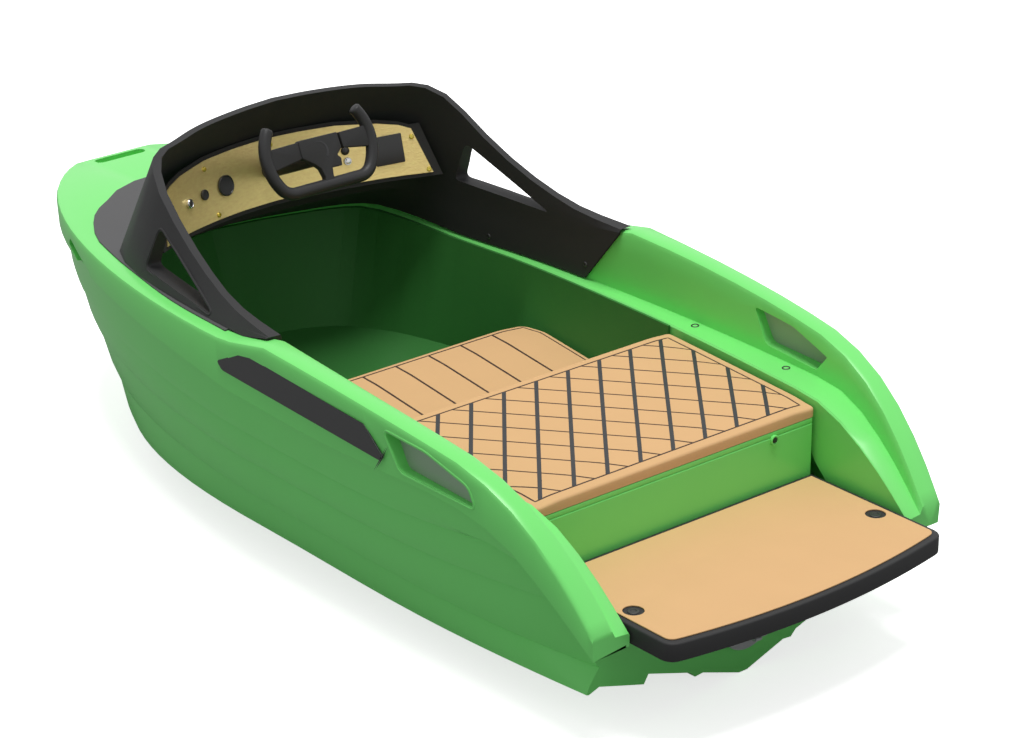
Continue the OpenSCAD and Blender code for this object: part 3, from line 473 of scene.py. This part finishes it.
def wheel_rim():
    """Open-topped rim: two curved grips, which end in domes, and a straight bar below."""
    bar_r, bar_z, grip_y, grip_up, grip_r, corner_r = 15.5, 12, 35, 16, 122, 46
    low, high = -34, 36
    dome = ((7, 0.3), (6.4, 0.62), (5, 0.84), (2.6, 0.96))

    # stations down the port half: place across and up, direction in degrees, share of the bar's radius
    def arc(y, up, r, angles):
        return [(y + r * math.cos(math.radians(a)), up + r * math.sin(math.radians(a)), a, 1) for a in angles]

    top = math.radians(high)
    top_y, top_up = grip_y + grip_r * math.cos(top), grip_up + grip_r * math.sin(top)
    way = [(top_y - d * math.sin(top), top_up + d * math.cos(top), high, share) for d, share in dome]
    way += arc(grip_y, grip_up, grip_r, np.linspace(high, low, 16))
    mid_y = grip_y + (grip_r - corner_r) * math.cos(math.radians(low))
    mid_up = grip_up + (grip_r - corner_r) * math.sin(math.radians(low))
    way += arc(mid_y, mid_up, corner_r, np.linspace(low, -90, 11)[1:])
    way += [(mid_y * (1 - k / 6), mid_up - corner_r, -90, 1) for k in range(1, 7)]
    rings = []
    for y, up, a, share in way:
        r, a = bar_r * share, math.radians(a)
        turns = [math.pi * k / 14 for k in range(28)]
        rings.append([(up + r * math.cos(turn) * math.sin(a), y + r * math.cos(turn) * math.cos(a),
                       bar_z - r * math.sin(turn)) for turn in turns])
    rings += [[(p[0], -p[1], p[2]) for p in ring] for ring in rings[-2::-1]]
    points, faces = loft(rings)
    add("wheel_rim_grip", points, faces, RUBBER, "wheel", ("wheel_rim",), 50, place=WHEEL)


def wheel_hub():
    """Hub plate with its lower spoke, an arm to each grip, the raised crescent and the stem."""
    hub = [(46, 60), (48, 52), (46, -57), (24, -58), (6, -59), (-8, -42), (-17, -51), (-36, -48), (-35, -19),
           (-54, -16), (-66, -19), (-66, 12), (-54, 9), (-31, 15), (-19, 27), (-6, 45), (4, 60)]
    port_arm = [(44, 145), (45, 56), (4, 56), (-9, 145)]
    starboard_arm = [(44, -64), (44, -145), (-8, -145), (5, -67)]
    plate("wheel_hub_body", [rounded(hub, 2.5, 3)], 19, 2.4, BLACK, "wheel", on_wheel(13.5), ("wheel_hub",))
    plate("wheel_arm_port", [rounded(port_arm, 2, 3)], 14, 2, BLACK, "wheel", on_wheel(12.5))
    plate("wheel_arm_starboard", [rounded(starboard_arm, 2, 3)], 15, 2, BLACK, "wheel", on_wheel(12.5))
    turned("wheel_stub", [(18, -4), (18, 5), (10, 6)], BLACK, "wheel", WHEEL)
    turned("wheel_stem", [(9.8, -70), (9.8, 2), (4, 3)], STEEL, "wheel", WHEEL)
    arc = [math.radians(a) for a in range(-130, 26, 6)]
    moon = [(10 + 26 * math.cos(a), 6 + 26 * math.sin(a)) for a in arc]
    moon += [(12 + 22.5 * math.cos(a), 8.5 + 22.5 * math.sin(a)) for a in arc[::-1]]
    plate("wheel_hub_crescent", [moon], 1.2, 0.3, LINE, "wheel", on_wheel(22.9))


wheel_rim()
wheel_hub()

# Pads: firm foam, its top crowned and its edges rolled over. EDGE is how far from an edge its points lie.
EDGE = [0, 0.5, 1.4, 2.8, 4.6, 7, 10, 14, 20, 28, 38]


def smooth(t):
    """Smooth step from 0 to 1."""
    t = min(1.0, max(0.0, t))
    return t * t * (3 - 2 * t)


def stations(length):
    """Distances along a side, close together at both ends."""
    span = length - 2 * EDGE[-1]
    count = round(span / 16)
    return EDGE + [EDGE[-1] + span * k / count for k in range(1, count)] + [length - e for e in EDGE[::-1]]


def cushion(name, x0, x1, half, fall, thick, roll, corner, mat, body, place, cad):
    """Cushion from x0 to x1: half(x) is its half width, fall(x, y) how far its top lies under the plane."""
    length = x1 - x0
    grid = []
    wide = stations(2 * half(x0))
    for dx in stations(length):
        row = []
        for dy in wide:
            near_x, near_y = min(dx, length - dx), min(dy, 2 * half(x0) - dy)
            d = min(near_x, near_y)
            if near_x < corner and near_y < corner:
                # points near a corner move onto an arc
                qx, qy = corner - near_x, corner - near_y
                share = max(qx, qy) / math.hypot(qx, qy)
                d = corner - max(qx, qy)
                near_x, near_y = corner - qx * share, corner - qy * share
            x = x0 + near_x if dx < length / 2 else x1 - near_x
            h = half(x)
            if near_y <= EDGE[-1]:
                y = (h - near_y) * (-1 if dy < half(x0) else 1)
            else:
                y = (dy - half(x0)) / (half(x0) - EDGE[-1]) * (h - EDGE[-1])
            e = min(d, roll)
            row.append((x, y, -fall(x, y) - roll + math.sqrt(max(0, roll * roll - (roll - e) ** 2))))
        grid.append(row)
    rows, cols = len(grid), len(grid[0])
    points = [p for row in grid for p in row]
    faces = [[r * cols + c, r * cols + c + 1, (r + 1) * cols + c + 1, (r + 1) * cols + c]
             for r in range(rows - 1) for c in range(cols - 1)]
    rim = [c for c in range(cols)] + [r * cols + cols - 1 for r in range(1, rows)]
    rim += [(rows - 1) * cols + c for c in range(cols - 2, -1, -1)]
    rim += [r * cols for r in range(rows - 2, 0, -1)]
    n = len(rim)
    before = rim
    for share in (0.75, 0.9, 1):
        base = len(points)
        points += [(points[i][0], points[i][1], -thick * share) for i in rim]
        faces += [[before[k], base + k, base + (k + 1) % n, before[(k + 1) % n]] for k in range(n)]
        before = list(range(base, base + n))
    faces.append(before)
    made = add(name, points, faces, mat, body, cad, 60, place=place)
    return made


def ribbons(name, lines, width, lift, top, mat, body, place):
    """Flat inlaid lines over a pad: each line is a path in plan, and top(x, y) is the height of the pad."""
    step, sunk = 8, 1.2
    points, faces = [], []
    for line in lines:
        path = [Vector(line[0])]
        for a, b in zip(line, line[1:]):
            a, b = Vector(a), Vector(b)
            n = max(1, round((b - a).length / step))
            path += [a + (b - a) * k / n for k in range(1, n + 1)]
        rings = []
        for k, p in enumerate(path):
            t = (path[min(k + 1, len(path) - 1)] - path[max(k - 1, 0)]).normalized()
            side = Vector((-t.y, t.x)) * width / 2
            l, r = p + side, p - side
            zl, zr = top(l.x, l.y), top(r.x, r.y)
            rings.append([(l.x, l.y, zl - sunk), (r.x, r.y, zr - sunk), (r.x, r.y, zr + lift),
                          (l.x, l.y, zl + lift)])
        more, sides = loft(rings)
        base = len(points)
        points += more
        faces += [[base + i for i in f] for f in sides]
    return add(name, points, faces, mat, body, place=place)


def clipped(p, q, inside):
    """Part of the line from p to q that is inside, or None."""
    p, q = Vector(p), Vector(q)
    kept = [p + (q - p) * k / 900 for k in range(901) if inside(*(p + (q - p) * k / 900))]
    return [tuple(kept[0]), tuple(kept[-1])] if len(kept) > 8 else None


# Rear pad
REAR = Matrix.Translation((0, 0, 0.279))
REAR_AFT, REAR_FWD = -870.5, -346.5
BORDER_AFT, BORDER_FWD, BORDER_IN = -842, -372, 25


def rear_half(x):
    return 420 + 29 * (x + 871) / 525


def rear_fall(x, y):
    h = rear_half(x)
    return (5 * max(0, (-372 - x) / 400) ** 1.2 + 3.5 * smooth((-790 - x) / 60)
            + 4 * smooth((abs(y) - h + 75) / 75))


def rear_top(x, y):
    return -rear_fall(x, y)


def rear_inside(x, y):
    return BORDER_AFT < x < BORDER_FWD and abs(y) < rear_half(x) - BORDER_IN


def rear_pad():
    """Pad on the hatch, with broad lines one way, fine lines the other and a fine border."""
    cushion("rear_pad_foam", REAR_AFT, REAR_FWD, rear_half, rear_fall, 36, 7, 14, TAN, "hatch", REAR,
            ("rear_pad",))
    pitch, run = 97, 520
    broad, fine = [], []
    for k in range(-9, 12):
        x, y = -372, 184 + pitch * k
        broad.append(clipped((x, y), (x - run, y + 0.835 * run), rear_inside))
        x, y = -371, 48 + pitch * k
        fine.append(clipped((x, y), (x - run, y - 0.86 * run), rear_inside))
    fwd, aft = rear_half(BORDER_FWD) - BORDER_IN, rear_half(BORDER_AFT) - BORDER_IN
    border = [(BORDER_FWD, fwd), (BORDER_AFT, aft), (BORDER_AFT, -aft), (BORDER_FWD, -fwd),
              (BORDER_FWD, fwd)]
    fine = [line for line in fine if line] + [border]
    broad = [line for line in broad if line]
    ribbons("rear_pad_fine_lines", fine, 4.4, 0.25, rear_top, GROOVE, "hatch", REAR)
    ribbons("rear_pad_broad_lines", broad, 9.5, 0.5, rear_top, LINE, "hatch", REAR)


# Front seat
SEAT = Matrix.Translation((0.149, 0, 0.159)) @ Matrix.Rotation(math.radians(-6.4), 4, "Y")
SEAT_LENGTH, SEAT_HALF, SEAT_CORNER = 480, 434, 62


def seat_half(x):
    return SEAT_HALF - 19 * max(0, (x + SEAT_CORNER) / SEAT_CORNER)


def seat_fall(x, y):
    return (3.5 * smooth((x + 85) / 85) + 7 * smooth((abs(y) - seat_half(x) + 95) / 95)
            + 3 * smooth((-x - 380) / 100))


def seat_top(x, y):
    return -seat_fall(x, y)


def seat_pad():
    """Front seat with seven fore-and-aft lines and a border, which is open at the back."""
    cushion("seat_pad_foam", -SEAT_LENGTH, 0, seat_half, seat_fall, 40, 6, 24, TAN, "boat", SEAT,
            ("seat_pad",))
    lines = [[(-14, y), (-478, y)] for y in (-303, -202, -101, 1, 102, 203, 304)]
    side, nose = SEAT_HALF - 15, SEAT_HALF - 30
    border = [(-470, side), (-SEAT_CORNER, side), (-14, nose), (-14, -nose), (-SEAT_CORNER, -side),
              (-470, -side)]
    ribbons("seat_pad_lines", lines, 6, 0.3, seat_top, GROOVE, "boat", SEAT)
    ribbons("seat_pad_border", [border], 4, 0.25, seat_top, GROOVE, "boat", SEAT)


rear_pad()
seat_pad()


# Platform and its pad with the two bolts
def platform_outline(inset, corner):
    """Outline with a bowed aft edge and rounded corners."""
    half, fwd, aft = 411 - inset, -873 - inset, -1327 + inset

    def bow(y):
        return aft + 42 * (y / half) ** 2

    ends = {s: rounded([(fwd, s * half), (bow(half), s * half), (bow(half - 60), s * (half - 60))],
                       corner, 8)[9:18] for s in (1, -1)}
    line = [Vector((bow(y), y)) for y in [(half - corner - 12) * (1 - 2 * k / 24) for k in range(25)]]
    return [Vector((fwd, -half)), Vector((fwd, half))] + ends[1] + line + ends[-1][::-1]


def platform():
    bolt_x, bolt_y, hole_r = -1122, 364, 23.5
    turns = [2 * math.pi * k / 32 for k in range(32)]
    holes = [[(bolt_x + hole_r * math.cos(a), y + hole_r * math.sin(a)) for a in turns]
             for y in (bolt_y, -bolt_y)]
    plate("platform_body", [platform_outline(0, 30)], 44, 4, BLACK, "boat",
          Matrix.Translation((0, 0, 0.080)), ("platform_base",))
    plate("platform_foam", [platform_outline(14, 20)] + holes, 3.4, 1.2, TAN, "boat",
          Matrix.Translation((0, 0, 0.1040)), ("platform_pad",))
    for side, s in SIDES:
        made = turned(f"platform_bolt_{side}", [(13, -1), (13, 1), (12, 2), (8, 2.4), (7, 0.8), (1, 0.6)],
                      DARK_STEEL, "boat", Matrix.Translation((bolt_x * MM, s * bolt_y * MM, 0.1022)))
        if s == 1:
            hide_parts("platform_bolts")


platform()


# Plug in the engine box, the hatch lid and the drive
def box_plug():
    def aft(x):
        return Matrix.Translation((x, -0.288, 0.222)) @ Matrix.Rotation(-math.pi / 2, 4, "Y")

    profile = [(12, -1), (12, 4), (11, 5.2), (8.6, 5.4), (8, 4.4), (7.6, 1), (1, 0.8)]
    turned("box_plug_ring", profile, GREEN, "boat", aft(-0.871), ("box_plug",))
    plate("box_plug_core", [rounded([(-5, -5), (5, -5), (5, 5), (-5, 5)], 1)], 4, 0.5, GLOSS, "boat",
          aft(-0.8745))


def hatch_band():
    """Band that fills the gap between the lid and the rear pad."""
    aft, fwd, half = -870.4, -372, 411.4
    outline = rounded([(aft, -half), (fwd, -half), (fwd, half), (aft, half)], 3, 3)
    plate("hatch_lid_band", [outline], 11.8, 1.5, GREEN, "hatch", Matrix.Translation((0, 0, 0.2353)))


box_plug()
skin("hatch_lid", GREEN, "hatch", angle=30)
hatch_band()
skin("hatch_hinges", STEEL)
skin("motor_block", ALLOY, bevel=5)
skin("battery_block", BATTERY, bevel=5)
skin("intake_duct", ALLOY, angle=30)
skin("intake_grate", STEEL, angle=30)
skin("pump_shaft", STEEL, "rotor")
skin("impeller", BRONZE, "rotor", angle=30)
skin("pump_housing", ALLOY, angle=30)
skin("steering_nozzle", ALLOY, "nozzle", angle=30)


def aimed(name, data, direction):
    """Object that looks or shines along a direction."""
    obj = bpy.data.objects.new(name, data)
    scene.collection.objects.link(obj)
    obj.rotation_mode = "QUATERNION"
    obj.rotation_quaternion = Vector(direction).to_track_quat("-Z", "Y")
    return obj


# Camera
cam_data = bpy.data.cameras.new("camera")
cam_data.lens = 120.23
cam_data.sensor_width = 36
cam_data.clip_start = 0.1
cam_data.clip_end = 100
cam = aimed("camera", cam_data, (0.7013, -0.5948, -0.3930))
cam.location = (-5.849, 4.708, 3.399)
scene.camera = cam
scene.view_settings.view_transform = "Standard"


# Light: a bright sky for reflections and the background, a softer one for shading, and a wide sun
def sky(tree, strength):
    made = tree.nodes.new("ShaderNodeBackground")
    made.inputs["Color"].default_value = (1, 1, 1, 1)
    made.inputs["Strength"].default_value = strength
    return made.outputs["Background"]


world = bpy.data.worlds.new("studio")
scene.world = world
world.use_nodes = True
tree = world.node_tree
for item in list(tree.nodes):
    tree.nodes.remove(item)
rays = tree.nodes.new("ShaderNodeLightPath")
seen = tree.nodes.new("ShaderNodeMath")
seen.operation = "MAXIMUM"
tree.links.new(rays.outputs["Is Camera Ray"], seen.inputs[0])
tree.links.new(rays.outputs["Is Glossy Ray"], seen.inputs[1])
pick = tree.nodes.new("ShaderNodeMixShader")
tree.links.new(seen.outputs["Value"], pick.inputs["Fac"])
tree.links.new(sky(tree, 0.42), pick.inputs[1])
tree.links.new(sky(tree, 1.0), pick.inputs[2])
out = tree.nodes.new("ShaderNodeOutputWorld")
tree.links.new(pick.outputs["Shader"], out.inputs["Surface"])

sun_data = bpy.data.lights.new("sun", "SUN")
sun_data.energy = 2.4
sun_data.angle = math.radians(24)
aimed("sun", sun_data, (0.07, -0.02, -0.997))


# Floor at the keel, because the picture shows the whole hull: white to the camera and grey to the light
def paper():
    mat = bpy.data.materials.new("paper")
    mat.use_nodes = True
    tree = mat.node_tree
    bsdf = tree.nodes["Principled BSDF"]
    bsdf.inputs["Roughness"].default_value = 1
    bsdf.inputs["Specular IOR Level"].default_value = 0
    bsdf.inputs["Emission Color"].default_value = (1, 1, 1, 1)
    rays = tree.nodes.new("ShaderNodeLightPath")
    tone = tree.nodes.new("ShaderNodeMix")
    tone.data_type = "RGBA"
    tone.inputs["A"].default_value = (0.3, 0.3, 0.3, 1)
    tone.inputs["B"].default_value = (1, 1, 1, 1)
    tree.links.new(rays.outputs["Is Camera Ray"], tone.inputs["Factor"])
    tree.links.new(tone.outputs["Result"], bsdf.inputs["Base Color"])
    glow = tree.nodes.new("ShaderNodeMath")
    glow.operation = "MULTIPLY"
    glow.inputs[1].default_value = 0.7
    tree.links.new(rays.outputs["Is Camera Ray"], glow.inputs[0])
    tree.links.new(glow.outputs["Value"], bsdf.inputs["Emission Strength"])
    return mat


mesh = bpy.data.meshes.new("floor")
reach = 30
mesh.from_pydata([(-reach, -reach, KEEL_Z), (reach, -reach, KEEL_Z), (reach, reach, KEEL_Z),
                  (-reach, reach, KEEL_Z)], [], [[0, 1, 2, 3]])
mesh.materials.append(paper())
floor = bpy.data.objects.new("floor", mesh)
scene.collection.objects.link(floor)
